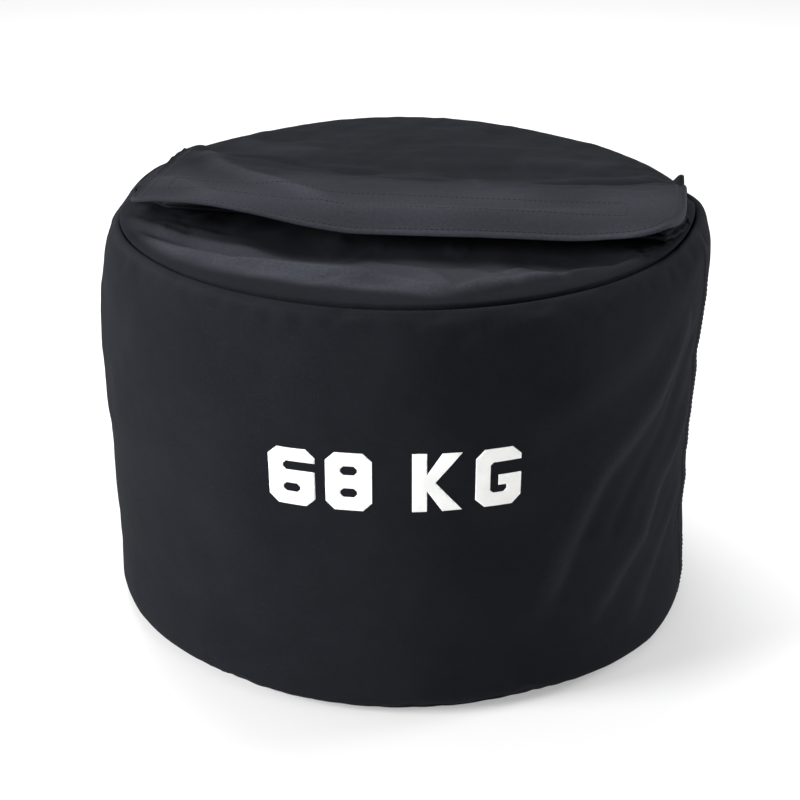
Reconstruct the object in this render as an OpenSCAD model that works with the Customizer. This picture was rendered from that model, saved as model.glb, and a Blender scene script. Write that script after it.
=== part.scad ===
// Round strongman sandbag: a drum of heavy nylon with a mouth across its top, filled with sand.
// The mouth closes twice: its two lips meet in a hook-and-loop strip, and a cover flap lies over them.
// Frame: the middle of the base on the floor is the origin, +Z is up, the print faces -Y, and the mouth,
// the lips and the flap run along X. All sizes are in millimetres.

/* [Drum] */
// Diameter of the round top and base panels at their seams
panel_d = 410; // [380:5:450]
// Height of the flat top above the floor
bag_h = 302; // [280:2:340]
// How far the side wall bulges past the seams at its widest
belly = 13; // [8:1:20]
// How far the side wall stands past the base seam near the floor
heel = 17; // [12:1:20]
// Height of the widest place above the floor
belly_z = 235; // [200:5:250]

/* [Fabric] */
// Thickness of one layer of coated nylon
fabric_t = 1.4; // [1:0.1:1.6]
// Thickness of a doubled hem
hem_t = 2.4; // [2:0.1:3]
// Thickness of hook or loop tape
tape_t = 1.4; // [1:0.1:1.6]
// Width of the seam allowances turned to the inside
allowance = 12; // [10:1:14]

/* [Mouth and flap] */
// Distance of the mouth's slit in front of the middle
mouth_offset = 30; // [20:1:40]
// Width of each lip, from the slit to its hem
lip_w = 46; // [42:1:50]
// Width of the hook and loop tapes
tape_w = 30; // [25:1:32]
// Length of the hook and loop tapes
tape_l = 320; // [280:5:330]
// Distance from the slit back to the seam that holds the flap
flap_reach = 50; // [46:1:56]
// Width of the flap, from its seam to its front edge
flap_w = 117; // [112:1:122]

/* [Print] */
// Height of the printed figures
print_h = 41; // [30:1:50]
// Height of the print's lower edge above the floor
print_z = 163; // [120:1:170]
// Turn of the print away from the front
print_turn = 7; // [0:1:12]

/* [Hidden] */
$fn = 96;

// Clearances: between sewn neighbours, between stacked closure layers, and across the mouth
seam_gap = 0.3;
layer_gap = 0.3;
slit = 1.2;

// Drum radii and heights
seam_r = panel_d / 2;
base_taper = 9;
base_seam_r = seam_r - base_taper;
crown_w = 25;
crown_h = 8;
seam_z = bag_h - crown_h;
crown_r = seam_r - crown_w;
heel_h = 16;
heel_r = base_seam_r + heel;
belly_r = seam_r + belly;

// Closure stack, from the top panel up: front lip, loop, hook, back lip, loop, hook, flap
mouth_y = -mouth_offset;
front_lip_z = bag_h + 0.4;
mouth_loop_z = front_lip_z + hem_t;
mouth_hook_z = mouth_loop_z + tape_t + layer_gap;
back_lip_z = mouth_hook_z + tape_t;
cover_loop_z = back_lip_z + hem_t;
flap_hook_z = cover_loop_z + tape_t + layer_gap;
flap_z = flap_hook_z + tape_t;
flap_y = mouth_y + flap_reach;
flap_front_y = flap_y - flap_w;
riser_y = mouth_y + 1.6;
closure_margin = 9;
closure_r = seam_r - closure_margin;
tape_setback = 11;
tape_y = mouth_y - tape_setback - tape_w;

// Bindings inside the seams, and the fill, which clears the side seam's strip
tape_leg = 1.1;
strip_w = 22;
strip_t = 1;
strip_turn = -9;
fill_gap = strip_t + 0.3;
step_h = allowance + 3;
step_r = base_seam_r - 5;
liner_t = 0.5;
shoulder_z = seam_z - 26;
dimple_r = 70;
dimple_z = bag_h - 16;
neck_r = 13;

// Points on an ellipse about [cr, cz] with radii rr and rz, from angle a0 to a1
function arc(cr, cz, rr, rz, a0, a1, n) =
    [for (i = [0:n]) let (a = a0 + (a1 - a0) * i / n) [cr + rr * cos(a), cz + rz * sin(a)]];

// Outer radius of the straight part of the wall: it eases from the heel out to the belly
function ease_r(share) = heel_r + (belly_r - heel_r) * (1 - cos(180 * share)) / 2;

// Outline of the side wall from the base seam to the top seam, moved inwards by inset
function wall_line(inset) = concat(
    arc(base_seam_r + seam_gap, heel_h, heel - seam_gap - inset, heel_h - inset, -90, 0, 6),
    [for (i = [1:6]) [ease_r(i / 6) - inset, heel_h + (belly_z - heel_h) * i / 6]],
    arc(seam_r + seam_gap, belly_z, belly - seam_gap - inset, seam_z - belly_z - inset, 10, 90, 8)
);

// The part of the wall's outline between two heights
function wall_stretch(inset, z_low, z_high) =
    [for (p = wall_line(inset)) if (p[1] > z_low && p[1] < z_high) p];

// Outline of the crowned top from its seam to the middle, moved inwards by inset
function crown_line(inset) = concat(
    arc(crown_r, seam_z, crown_w - inset, crown_h - inset, 0, 90, 6),
    [[0, bag_h - inset]]
);

// Outline of the fill: over the bound base seam, up the wall, in under the bound top seam, and flat on top
function fill_line(inset) = concat(
    [[0, fabric_t + seam_gap + inset], [step_r - inset, fabric_t + seam_gap + inset],
     [step_r - inset, step_h + inset]],
    wall_stretch(fabric_t + fill_gap + inset, step_h + 4, shoulder_z),
    [[seam_r - 4.5 - inset, seam_z - 18 - inset], [seam_r - 4.5 - inset, seam_z - 4],
     [seam_r - 15, bag_h - 3.5 - inset], [crown_r, bag_h - fabric_t - seam_gap - inset],
     [0, bag_h - fabric_t - seam_gap - inset]]
);

function reversed(list) = [for (i = [len(list) - 1:-1:0]) list[i]];

// A band between an outline and the same outline moved inwards by t, turned about Z
module band(outer, inner) {
    rotate_extrude() polygon(concat(outer, reversed(inner)));
}

// A ring of rectangular section
module ring(r_in, r_out, z_low, z_high) {
    rotate_extrude() translate([r_in, z_low]) square([r_out - r_in, z_high - z_low]);
}

// A box that spans the drum in X, between two places in Y and two in Z
module slab(y_low, y_high, z_low, z_high) {
    translate([-seam_r - 50, y_low, z_low]) cube([2 * seam_r + 100, y_high - y_low, z_high - z_low]);
}

// The whole crowned top with its turned-down allowance
module top_disc() {
    union() {
        band(crown_line(0), crown_line(fabric_t));
        ring(seam_r - fabric_t, seam_r, seam_z - allowance, seam_z + 0.01);
    }
}

// The part of the top between two places in Y
module top_piece(y_low, y_high) {
    intersection() {
        top_disc();
        slab(y_low, y_high, 0, bag_h + 1);
    }
}

// A U-shaped binding that wraps two seam allowances, opening towards the seam
module seam_binding(r_in, r_out, z_low, z_high, closed_low) {
    floor_z = closed_low ? z_low + tape_leg : z_low - 1;
    roof_z = closed_low ? z_high + 1 : z_high - tape_leg;
    difference() {
        ring(r_in, r_out, z_low, z_high);
        ring(r_in + tape_leg, r_out - tape_leg, floor_z, roof_z);
    }
}

// A flat strip across the top, cut to the circle of the closure
module closure_strip(y_low, y_high, z_low, z_high) {
    intersection() {
        translate([0, 0, z_low]) cylinder(r = closure_r, h = z_high - z_low);
        slab(y_low, y_high, z_low - 1, z_high + 1);
    }
}

module tape(z) {
    translate([-tape_l / 2, tape_y, z]) cube([tape_l, tape_w, tape_t]);
}

module side_panel() {
    color([0.06, 0.06, 0.07]) union() {
        band(wall_line(0), wall_line(fabric_t));
        ring(seam_r + seam_gap, seam_r + seam_gap + fabric_t, seam_z - allowance, seam_z - fabric_t / 2);
        ring(base_seam_r + seam_gap, base_seam_r + seam_gap + fabric_t, fabric_t / 2, allowance);
    }
}

// The inside binding that covers the side wall's one upright seam, where the mouth ends
module side_seam_strip() {
    inset = fabric_t + 0.05;
    strip_low = step_h + 6;
    color([0.05, 0.05, 0.06]) intersection() {
        band(
            wall_stretch(inset, strip_low, shoulder_z),
            wall_stretch(inset + strip_t, strip_low, shoulder_z)
        );
        rotate([0, 0, strip_turn]) translate([0, -strip_w / 2, 0]) cube([belly_r + 10, strip_w, bag_h]);
    }
}

module base_panel() {
    color([0.06, 0.06, 0.07]) union() {
        cylinder(r = base_seam_r, h = fabric_t);
        ring(base_seam_r - fabric_t, base_seam_r, fabric_t / 2, allowance);
    }
}

module base_seam_binding() {
    color([0.05, 0.05, 0.05]) seam_binding(
        base_seam_r - fabric_t - seam_gap - tape_leg,
        base_seam_r + seam_gap * 2 + fabric_t + tape_leg,
        5, allowance + seam_gap + tape_leg, false
    );
}

module top_front_panel() {
    color([0.06, 0.06, 0.07]) top_piece(-seam_r - 1, mouth_y - slit / 2);
}

module top_middle_panel() {
    color([0.06, 0.06, 0.07]) top_piece(mouth_y + slit / 2, flap_y - seam_gap);
}

module top_back_panel() {
    color([0.06, 0.06, 0.07]) top_piece(flap_y, seam_r + 1);
}

module top_seam_binding() {
    color([0.05, 0.05, 0.05]) seam_binding(
        seam_r - fabric_t - seam_gap - tape_leg,
        seam_r + seam_gap * 2 + fabric_t + tape_leg,
        seam_z - allowance - seam_gap - tape_leg, seam_z - 5, true
    );
}

module mouth_front_lip() {
    color([0.07, 0.07, 0.08])
        closure_strip(mouth_y - 1 - lip_w, mouth_y - 1, front_lip_z, front_lip_z + hem_t);
}

module mouth_loop_tape() {
    color([0.09, 0.09, 0.1]) tape(mouth_loop_z);
}

// The back lip rises behind the slit and lies forward over the front lip
module mouth_back_lip() {
    color([0.07, 0.07, 0.08]) union() {
        closure_strip(mouth_y - 1 - lip_w, riser_y + hem_t, back_lip_z, back_lip_z + hem_t);
        closure_strip(riser_y, riser_y + hem_t, front_lip_z, back_lip_z + hem_t);
    }
}

module mouth_hook_tape() {
    color([0.03, 0.03, 0.03]) tape(mouth_hook_z);
}

module cover_loop_tape() {
    color([0.09, 0.09, 0.1]) tape(cover_loop_z);
}

// Plan of the flap: it ends on a circle at the drum's edge, with rounded front corners
module flap_plan(inset) {
    end_x = closure_r - 4;
    corner_r = 26;
    front = flap_front_y + inset;
    intersection() {
        circle(r = closure_r + 3 - inset);
        union() {
            translate([-end_x + inset, front + corner_r])
                square([2 * (end_x - inset), flap_w - inset - corner_r]);
            translate([-end_x + inset + corner_r, front])
                square([2 * (end_x - inset - corner_r), flap_w - inset]);
            for (side = [-1, 1])
                translate([side * (end_x - inset - corner_r), front + corner_r]) circle(r = corner_r);
        }
    }
}

// The flap's bent section: it climbs from its seam onto the closed mouth, then runs flat to the front.
// It spans the layer between two heights above its underside.
module flap_layer(low, high, inset) {
    bend_y = riser_y + hem_t + 5;
    root_z = bag_h + 0.4;
    intersection() {
        rotate([90, 0, 90]) translate([0, 0, -seam_r]) linear_extrude(2 * seam_r) polygon([
            [flap_y, root_z + low], [bend_y, flap_z + low], [flap_front_y - 1, flap_z + low],
            [flap_front_y - 1, flap_z + high], [bend_y, flap_z + high], [flap_y, root_z + high]
        ]);
        translate([0, 0, bag_h]) linear_extrude(40) flap_plan(inset);
    }
}

// The outer layer's edges turn down round the lining
module flap_outer() {
    color([0.06, 0.06, 0.07]) difference() {
        flap_layer(0, hem_t, 0);
        flap_layer(-1, hem_t / 2 + 0.02, 3);
    }
}

module flap_lining() {
    color([0.04, 0.04, 0.05]) flap_layer(0, hem_t / 2, 3.1);
}

module flap_hook_tape() {
    color([0.03, 0.03, 0.03]) tape(flap_hook_z);
}

// Block figures, one unit high, drawn with straight strokes and cut corners
stroke = 0.23;
glyph_w = 0.72;
half_gap = (1 - 3 * stroke) / 2;

module block(w, h, cut) {
    polygon([[cut, 0], [w - cut, 0], [w, cut], [w, h - cut], [w - cut, h], [cut, h], [0, h - cut], [0, cut]]);
}

module window(level, w) {
    translate([stroke, stroke + level * (stroke + half_gap)]) block(w, half_gap, 0.05);
}

module glyph_6() {
    difference() {
        block(glyph_w, 1, 0.14);
        window(0, glyph_w - 2 * stroke);
        window(1, glyph_w);
    }
}

module glyph_8() {
    difference() {
        block(glyph_w, 1, 0.14);
        window(0, glyph_w - 2 * stroke);
        window(1, glyph_w - 2 * stroke);
    }
}

module glyph_k() {
    square([stroke, 1]);
    polygon([
        [stroke - 0.01, 0.38], [0.47, 0], [0.78, 0], [0.36, 0.5], [0.78, 1], [0.47, 1], [stroke - 0.01, 0.62]
    ]);
}

module glyph_g() {
    difference() {
        block(glyph_w, 1, 0.14);
        translate([stroke, stroke]) block(glyph_w - 2 * stroke, 1 - 2 * stroke, 0.05);
        translate([glyph_w - stroke - 0.06, 0.52]) square([stroke + 0.07, 0.25]);
    }
    translate([glyph_w / 2, 0.36]) square([glyph_w / 2, 0.18]);
}

// The printed weight, a thin film of ink that follows the wall
module weight_print() {
    film_t = 0.4;
    film_low = print_z - 45;
    starts = [-2.09, -1.21, 0.13, 1.12];
    color([0.95, 0.95, 0.95]) intersection() {
        band(wall_stretch(-film_t, film_low, belly_z + 1), wall_stretch(-0.02, film_low, belly_z + 1));
        rotate([0, 0, print_turn]) translate([0, -100, print_z]) rotate([90, 0, 0])
            linear_extrude(200) scale(print_h) union() {
                translate([starts[0], 0]) glyph_6();
                translate([starts[1], 0]) glyph_8();
                translate([starts[2], 0]) glyph_k();
                translate([starts[3], 0]) glyph_g();
            }
    }
}

// The fill's outer form: a drum with a dimple under the mouth
module fill_body(inset) {
    difference() {
        rotate_extrude() polygon(fill_line(inset));
        translate([0, mouth_y, dimple_z - inset]) cylinder(r = dimple_r + inset, h = 40);
    }
}

// The liner: a film bag round the sand, with its gathered and tied neck in the dimple
module liner_bag() {
    color([0.8, 0.82, 0.84, 0.6]) union() {
        difference() {
            fill_body(0);
            fill_body(liner_t);
        }
        translate([0, mouth_y, dimple_z - liner_t]) rotate_extrude() polygon([
            [0, 0.1], [42, 0.1], [42, 0.6], [16, 4.5], [neck_r, 6], [neck_r, 9.5], [17, 11], [27, 13], [0, 13]
        ]);
    }
}

// The cable tie round the liner's neck: its loop, its head and its tail
module liner_tie() {
    tie_w = 3.2;
    tie_z = dimple_z + 5.7;
    color([0.9, 0.9, 0.88]) translate([0, mouth_y, tie_z]) union() {
        difference() {
            cylinder(r = neck_r + 1.6, h = tie_w);
            translate([0, 0, -1]) cylinder(r = neck_r + 0.2, h = tie_w + 2);
        }
        translate([neck_r + 1, -3, -0.6]) cube([5, 6, tie_w + 1.2]);
        translate([neck_r + 5.5, -1.7, 0.8]) cube([30, 3.4, 1.3]);
    }
}

module sand_fill() {
    color([0.76, 0.65, 0.46]) fill_body(liner_t + 0.1);
}

side_panel();
side_seam_strip();
base_panel();
base_seam_binding();
top_front_panel();
top_middle_panel();
top_back_panel();
top_seam_binding();
mouth_front_lip();
mouth_loop_tape();
mouth_back_lip();
mouth_hook_tape();
cover_loop_tape();
flap_outer();
flap_lining();
flap_hook_tape();
weight_print();
liner_bag();
liner_tie();
sand_fill();
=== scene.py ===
"""Round strongman sandbag: cloth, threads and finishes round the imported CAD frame. Metres, +Z up."""
import math

import bmesh
import bpy
import numpy as np
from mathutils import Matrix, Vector
from mathutils.bvhtree import BVHTree


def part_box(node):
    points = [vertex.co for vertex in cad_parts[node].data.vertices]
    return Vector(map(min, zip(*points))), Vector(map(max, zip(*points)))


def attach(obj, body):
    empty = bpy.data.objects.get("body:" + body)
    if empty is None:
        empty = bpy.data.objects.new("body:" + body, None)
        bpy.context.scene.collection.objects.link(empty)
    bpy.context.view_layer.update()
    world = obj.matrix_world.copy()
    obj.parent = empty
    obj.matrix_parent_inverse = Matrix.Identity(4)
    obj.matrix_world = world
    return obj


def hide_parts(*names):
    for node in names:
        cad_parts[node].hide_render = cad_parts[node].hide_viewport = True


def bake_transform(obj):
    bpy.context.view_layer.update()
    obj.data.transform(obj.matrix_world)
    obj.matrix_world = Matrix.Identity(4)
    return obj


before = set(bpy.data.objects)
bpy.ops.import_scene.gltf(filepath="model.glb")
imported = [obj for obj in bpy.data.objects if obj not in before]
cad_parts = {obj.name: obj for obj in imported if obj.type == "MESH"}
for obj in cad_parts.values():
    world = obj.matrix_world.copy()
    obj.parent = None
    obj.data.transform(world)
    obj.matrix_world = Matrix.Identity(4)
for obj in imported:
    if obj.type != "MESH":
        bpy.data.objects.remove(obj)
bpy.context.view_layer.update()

# ---------------------------------------------------------------- camera
# It looks down at the bag from a little to the right of the front.
VIEW_TURN = math.radians(7.0)
VIEW_REACH = 1.241
VIEW_HEIGHT = 0.721
VIEW_DIP = math.radians(25.08)

camera = bpy.data.objects.new("camera", bpy.data.cameras.new("camera"))
bpy.context.scene.collection.objects.link(camera)
camera.data.sensor_width = 36.0
camera.data.lens = 82.1
camera.data.shift_x = -0.0046
camera.location = (math.sin(VIEW_TURN) * VIEW_REACH, -math.cos(VIEW_TURN) * VIEW_REACH, VIEW_HEIGHT)
camera.rotation_euler = (math.pi / 2 - VIEW_DIP, 0, VIEW_TURN)
bpy.context.scene.camera = camera

# ---------------------------------------------------------------- sizes from the frame
BASE_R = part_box("base_panel")[1].x
RIM_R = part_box("top_back_panel")[1].y
TOP_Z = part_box("top_back_panel")[1].z
HINGE_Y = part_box("top_back_panel")[0].y
SLIT_FRONT_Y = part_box("top_front_panel")[1].y
SLIT_BACK_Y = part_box("top_middle_panel")[0].y
SLIT_Y = (SLIT_FRONT_Y + SLIT_BACK_Y) / 2
FLAP_FRONT_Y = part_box("flap_outer")[0].y
FLAP_TOP_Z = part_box("flap_outer")[1].z
LIP_FRONT_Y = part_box("mouth_front_lip")[0].y
BELLY_R = 0.218
BELLY_Z = 0.235
HEEL_R = 0.213
HEEL_H = 0.016
HEEL_IN_R = BASE_R + 0.0006
SEAM_Z = 0.2965
CROWN_R = RIM_R - 0.027
CLOTH_T = 0.0014
HEM_T = 0.0024
PILE_BAND_T = 0.0008
TAPE_ASKEW = 0.0085  # how far a tape's left end runs back
TOP_SPAN = 0.42
TIE_Z = (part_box("liner_tie")[0].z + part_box("liner_tie")[1].z) / 2
TIE_SIDES = 12
FLOOR_Z = -0.0004
SEAM_TURN = 81.0  # turn of the wall's upright seam from the front, towards +X, in degrees


# ---------------------------------------------------------------- shaping helpers
def smooth(t):
    t = np.clip(t, 0.0, 1.0)
    return t * t * (3 - 2 * t)


def hump(x, middle, width):
    return np.exp(-(((x - middle) / width) ** 2))


def turn_hump(turn, middle, width):
    """A hump round a turn in degrees, where 360 is 0."""
    return hump((turn - middle + 180) % 360 - 180, 0, width)


def speckle(u, v, cells_u, cells_v, seed, wrap=False):
    """Smooth noise from -1 to 1 on a random lattice. u and v run from 0 to 1, and wrap joins u's ends."""
    values = np.random.default_rng(seed).uniform(-1, 1, (cells_v + 2, cells_u + 2))
    if wrap:
        values[:, cells_u:] = values[:, :2]
    x = np.clip(u, 0, 1) * cells_u
    y = np.clip(v, 0, 1) * cells_v
    i = np.minimum(x.astype(int), cells_u - 1 + int(wrap))
    j = np.minimum(y.astype(int), cells_v - 1)
    fx = smooth(x - i)
    fy = smooth(y - j)
    low = values[j, i] * (1 - fx) + values[j, i + 1] * fx
    high = values[j + 1, i] * (1 - fx) + values[j + 1, i + 1] * fx
    return low * (1 - fy) + high * fy


def fold(x, y, line, width):
    """1 along a line of points and 0 away from it, fading out at the line's two ends."""
    line = np.array(line, float)
    steps = np.hypot(*np.diff(line, axis=0).T)
    total = steps.sum()
    before = 0.0
    nearest = np.full(np.shape(x), 1e9)
    share = np.zeros(np.shape(x))
    for (ax, ay), (bx, by), step in zip(line[:-1], line[1:], steps):
        t = np.clip(((x - ax) * (bx - ax) + (y - ay) * (by - ay)) / step**2, 0, 1)
        d = np.hypot(x - ax - t * (bx - ax), y - ay - t * (by - ay))
        closer = d < nearest
        nearest = np.where(closer, d, nearest)
        share = np.where(closer, (before + t * step) / total, share)
        before += step
    fade = smooth(np.minimum(share, 1 - share) * 5 + 0.05)
    return np.exp(-((nearest / width) ** 2.0)) * fade


def along(points, count, bias=None):
    """Evenly spaced points along a line of points."""
    points = np.array(points, float)
    length = np.concatenate([[0], np.cumsum(np.linalg.norm(np.diff(points, axis=0), axis=1))])
    share = np.linspace(0, 1, count) if bias is None else bias
    return np.stack([np.interp(share * length[-1], length, axis) for axis in points.T], 1)


def arc(cx, cy, radius, start, end, count=8):
    a = np.radians(np.linspace(start, end, count))
    return [(cx + radius * c, cy + radius * s) for c, s in zip(np.cos(a), np.sin(a))]


def loft(near, far, rows, bias=1.0):
    """Rows of points from one line to another, closer together towards the far one."""
    share = 1 - (1 - np.linspace(0, 1, rows)) ** bias
    return near[None] * (1 - share[:, None, None]) + far[None] * share[:, None, None]


def unit(vectors):
    return vectors / np.linalg.norm(vectors, axis=-1, keepdims=True)


def around(turn, r, z):
    """Points round the upright axis. turn is in degrees from the front, towards +X."""
    rad = np.radians(turn)
    return np.stack(np.broadcast_arrays(r * np.sin(rad), -r * np.cos(rad), z), -1)


def turn_of(x, y):
    return np.degrees(np.arctan2(x, -y))


def to_rim(x, y):
    """How far a point of the top is from the seam round it."""
    return RIM_R - np.hypot(x, y)


def ring_speckle(turn, cells, seed):
    """Noise round the upright axis."""
    u = (turn + 180) / 360
    return speckle(u, u * 0 + 0.5, cells, 1, seed, True)


def top_speckle(x, y, cells_u, cells_v, seed):
    """Noise over the square round the top."""
    return speckle((x + TOP_SPAN / 2) / TOP_SPAN, (y + TOP_SPAN / 2) / TOP_SPAN, cells_u, cells_v, seed)


# ---------------------------------------------------------------- meshes
def link(name, mesh):
    piece = bpy.data.objects.new(name, mesh)
    bpy.context.scene.collection.objects.link(piece)
    return piece


def grid_quads(rows, cols, wrap):
    """Corner numbers of a grid's faces, with the row and column that each starts at."""
    j, i = np.meshgrid(np.arange(rows - 1), np.arange(cols if wrap else cols - 1), indexing="ij")
    k = (i + 1) % cols
    quads = np.stack([j * cols + i, j * cols + k, (j + 1) * cols + k, (j + 1) * cols + i], -1)
    return quads.reshape(-1, 4), j, i


def grid_piece(name, points, uv=None, wrap=False):
    """A piece from rows of points. wrap joins the last column to the first."""
    mesh = bpy.data.meshes.new(name)
    quads, j, i = grid_quads(*points.shape[:2], wrap)
    mesh.from_pydata(points.reshape(-1, 3).tolist(), [], quads.tolist())
    if uv is not None:
        layer = mesh.uv_layers.new(name="cloth")
        ends = np.stack([i, i + 1, i + 1, i], -1).reshape(-1, 4)
        lines = np.stack([j, j, j + 1, j + 1], -1).reshape(-1, 4)
        layer.data.foreach_set("uv", uv[lines, ends].astype(np.float32).ravel())
    mesh.polygons.foreach_set("use_smooth", np.ones(len(mesh.polygons), bool))
    mesh.update()
    return link(name, mesh)


def surface_of(points, wrap=False):
    """A grid of points as a surface that rays can be cast on."""
    quads = grid_quads(*points.shape[:2], wrap)[0]
    return BVHTree.FromPolygons(points.reshape(-1, 3).tolist(), quads.tolist())


def thicken(piece, thickness, offset=-1.0):
    m = piece.modifiers.new("cloth_thickness", "SOLIDIFY")
    m.thickness = thickness
    m.offset = offset
    m.use_even_offset = False
    return piece


def stretched(field, rows, cols, wrap=False):
    """A coarse grid of vectors brought to a finer grid with smooth steps between its points."""
    def axis_to(values, count, closed):
        n = len(values)
        if closed:
            values = np.concatenate([values[-1:], values, values[:2]])
            x = np.arange(count) * n / count + 1
        else:
            values = np.concatenate([values[:1], values, values[-1:], values[-1:]])
            x = np.linspace(0, n - 1, count) + 1
        i = np.minimum(x.astype(int), len(values) - 3)
        t = (x - i).reshape((-1,) + (1,) * (values.ndim - 1))
        a, b, c, d = values[i - 1], values[i], values[i + 1], values[i + 2]
        return b + t / 2 * (c - a + t * (2 * a - 5 * b + 4 * c - d + t * (3 * (b - c) + d - a)))
    field = axis_to(field, rows, False)
    return axis_to(field.swapaxes(0, 1), cols, wrap).swapaxes(0, 1)


def blurred(field, reach, wrap):
    """A grid averaged over its neighbours, as far as reach points away."""
    for axis in (0, 1):
        n = field.shape[axis]
        total = np.zeros_like(field)
        for shift in range(-reach, reach + 1):
            at = np.arange(n) + shift
            at = at % n if wrap and axis else np.clip(at, 0, n - 1)
            total += np.take(field, at, axis)
        field = total / (2 * reach + 1)
    return field


def add_cloth(piece, pressure, slack, frames):
    cloth = piece.modifiers.new("cloth", "CLOTH")
    cloth.settings.quality = 6
    cloth.settings.mass = 0.25
    cloth.settings.tension_stiffness = 12
    cloth.settings.compression_stiffness = 12
    cloth.settings.shear_stiffness = 6
    cloth.settings.bending_stiffness = 0.4
    cloth.settings.shrink_min = -slack
    cloth.settings.vertex_group_mass = "hold"
    cloth.settings.use_pressure = True
    cloth.settings.uniform_pressure_force = pressure
    cloth.settings.effector_weights.gravity = 0
    cloth.collision_settings.use_collision = False
    cloth.point_cache.frame_start = 1
    cloth.point_cache.frame_end = frames


def settle(points, hold, pressure, slack, cap, wrap=False, frames=18):
    """Runs cloth on a grid of points and returns how far each one moved, at most cap, without the change
    in the cloth's broad form. hold is 1 where a seam keeps the cloth, and slack is its spare share."""
    piece = grid_piece("settling", points, wrap=wrap)
    group = piece.vertex_groups.new(name="hold")
    levels = np.round(hold.ravel(), 2)
    for level in np.unique(levels[levels > 0]):
        group.add(np.nonzero(levels == level)[0].tolist(), float(level), "REPLACE")
    add_cloth(piece, pressure, slack, frames)
    for step in range(1, frames + 1):
        bpy.context.scene.frame_set(step)
    settled = piece.evaluated_get(bpy.context.evaluated_depsgraph_get())
    found = np.zeros(len(piece.data.vertices) * 3, np.float32)
    settled.data.vertices.foreach_get("co", found)
    bpy.data.objects.remove(piece)
    bpy.context.scene.frame_set(1)
    moved = found.reshape(points.shape) - points
    moved -= blurred(moved, 7, wrap) * smooth(1.2 - hold)[..., None]
    size = np.linalg.norm(moved, axis=-1, keepdims=True)
    return moved * cap * np.tanh(size / cap) / np.maximum(size, 1e-9)


# ---------------------------------------------------------------- materials
class Shader:
    """Builds one material's nodes."""

    def __init__(self, name, rough, sheen=0.0, sheen_rough=0.5, specular=0.5, ior=1.45):
        self.made = bpy.data.materials.new(name)
        self.made.use_nodes = True
        self.nodes = self.made.node_tree.nodes
        self.links = self.made.node_tree.links
        self.skin = self.nodes["Principled BSDF"]
        self.skin.inputs["Roughness"].default_value = rough
        self.skin.inputs["Sheen Weight"].default_value = sheen
        self.skin.inputs["Sheen Roughness"].default_value = sheen_rough
        self.skin.inputs["Specular IOR Level"].default_value = specular
        self.skin.inputs["IOR"].default_value = ior
        self.bumped = None

    def node(self, kind, inputs=(), **settings):
        made = self.nodes.new(kind)
        for key, value in settings.items():
            setattr(made, key, value)
        for key, value in dict(inputs).items():
            if isinstance(value, bpy.types.NodeSocket):
                self.links.new(value, made.inputs[key])
            else:
                made.inputs[key].default_value = value
        return made

    def math(self, operation, a, b=0.0):
        return self.node("ShaderNodeMath", {0: a, 1: b}, operation=operation).outputs[0]

    def place(self, by_cloth=True):
        """Where a point is: on the cloth, in metres along its threads, or in space."""
        if by_cloth:
            return self.node("ShaderNodeUVMap", uv_map="cloth").outputs["UV"]
        return self.node("ShaderNodeTexCoord").outputs["Object"]

    def noise(self, where, scale, detail=3.0, rough=0.55, stretch=(1, 1, 1)):
        moved = self.node("ShaderNodeVectorMath", {0: where, 1: stretch}, operation="MULTIPLY").outputs[0]
        made = self.node("ShaderNodeTexNoise", {"Vector": moved, "Scale": scale, "Detail": detail})
        made.inputs["Roughness"].default_value = rough
        return made.outputs[0]

    def ramp(self, value, low, high, start=0.0, end=1.0):
        made = self.node("ShaderNodeMapRange", {"Value": value, "From Min": start, "From Max": end})
        made.inputs["To Min"].default_value = low
        made.inputs["To Max"].default_value = high
        return made.outputs["Result"]

    def mix(self, share, first, second):
        made = self.nodes.new("ShaderNodeMix")
        made.data_type = "RGBA"
        for key, value in ((0, share), (6, first), (7, second)):
            if isinstance(value, bpy.types.NodeSocket):
                self.links.new(value, made.inputs[key])
            else:
                made.inputs[key].default_value = (*value, 1.0) if isinstance(value, tuple) else value
        return made.outputs[2]

    def bump(self, height, strength, distance):
        inputs = {"Height": height, "Strength": strength, "Distance": distance}
        if self.bumped is not None:
            inputs["Normal"] = self.bumped
        self.bumped = self.node("ShaderNodeBump", inputs).outputs[0]
        self.links.new(self.bumped, self.skin.inputs["Normal"])

    def set(self, **sockets):
        for key, value in sockets.items():
            name = key.replace("_", " ").title()
            if isinstance(value, bpy.types.NodeSocket):
                self.links.new(value, self.skin.inputs[name])
            else:
                self.skin.inputs[name].default_value = (*value, 1.0) if isinstance(value, tuple) else value


def weave(s, where, pitch):
    """Height of a plain weave: threads of one pitch that pass over and under each other."""
    split = s.node("ShaderNodeSeparateXYZ", {0: where})
    across = s.math("ABSOLUTE", s.math("SINE", s.math("MULTIPLY", split.outputs[0], math.pi / pitch)))
    down = s.math("ABSOLUTE", s.math("SINE", s.math("MULTIPLY", split.outputs[1], math.pi / pitch)))
    over = s.node("ShaderNodeTexChecker", {"Vector": where, "Scale": 1 / pitch}).outputs["Fac"]
    under = s.math("SUBTRACT", 1.0, over)
    return s.math("ADD", s.math("MULTIPLY", across, over), s.math("MULTIPLY", down, under))


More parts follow.
